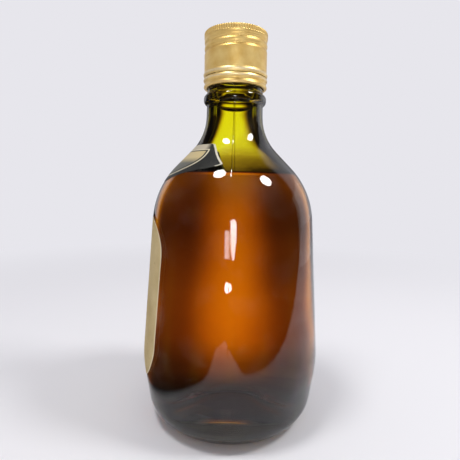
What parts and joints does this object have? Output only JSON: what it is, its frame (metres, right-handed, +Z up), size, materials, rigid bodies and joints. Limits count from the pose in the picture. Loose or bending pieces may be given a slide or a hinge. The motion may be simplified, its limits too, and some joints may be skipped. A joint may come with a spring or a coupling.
{
  "type": "glass bottle with screw cap",
  "caption": "Squat green glass bottle with tapered body, sloping shoulder, beaded neck, amber contents, blank paper labels and a gold roll-on cap that unscrews.",
  "frame": {"origin": "middle of the foot, on the plane the bottle stands on", "axes": "+Z up the neck, -Y the front that carries the labels, +X to the right of someone looking at the front"},
  "size_m": [0.0928, 0.093, 0.1976],
  "materials": {
    "green_glass": "clear dark olive green, glossy",
    "amber_liquid": "clear amber liquid",
    "gold_aluminium": "gold lacquer, satin bright",
    "liner_foam": "matt foam",
    "tan_paper": "uncoated tan paper, no print",
    "dark_paper": "dark printed paper with a plain cream line and a gold field"
  },
  "bodies": {
    "bottle_body": {"bottle": "green_glass", "contents": "amber_liquid", "tamper_band": "gold_aluminium", "body_label": "tan_paper", "shoulder_label": "dark_paper"},
    "liner_body": {"cap_liner": "liner_foam"},
    "cap_body": {"screw_cap": "gold_aluminium"}
  },
  "joints": [
    {"name": "cap_lift", "type": "slide", "parent": "bottle_body", "child": "liner_body", "axis": [0, 0, 1], "range_m": [0, 0.0286]},
    {"name": "cap_turn", "type": "hinge", "parent": "liner_body", "child": "cap_body", "pos_m": [0, 0, 0.19], "axis": [0, 0, 1], "range_deg": [0, 3240]}
  ],
  "couplings": [
    {"joint": "cap_lift", "follows": "cap_turn", "m_per_rad": 0.00050532}
  ]
}
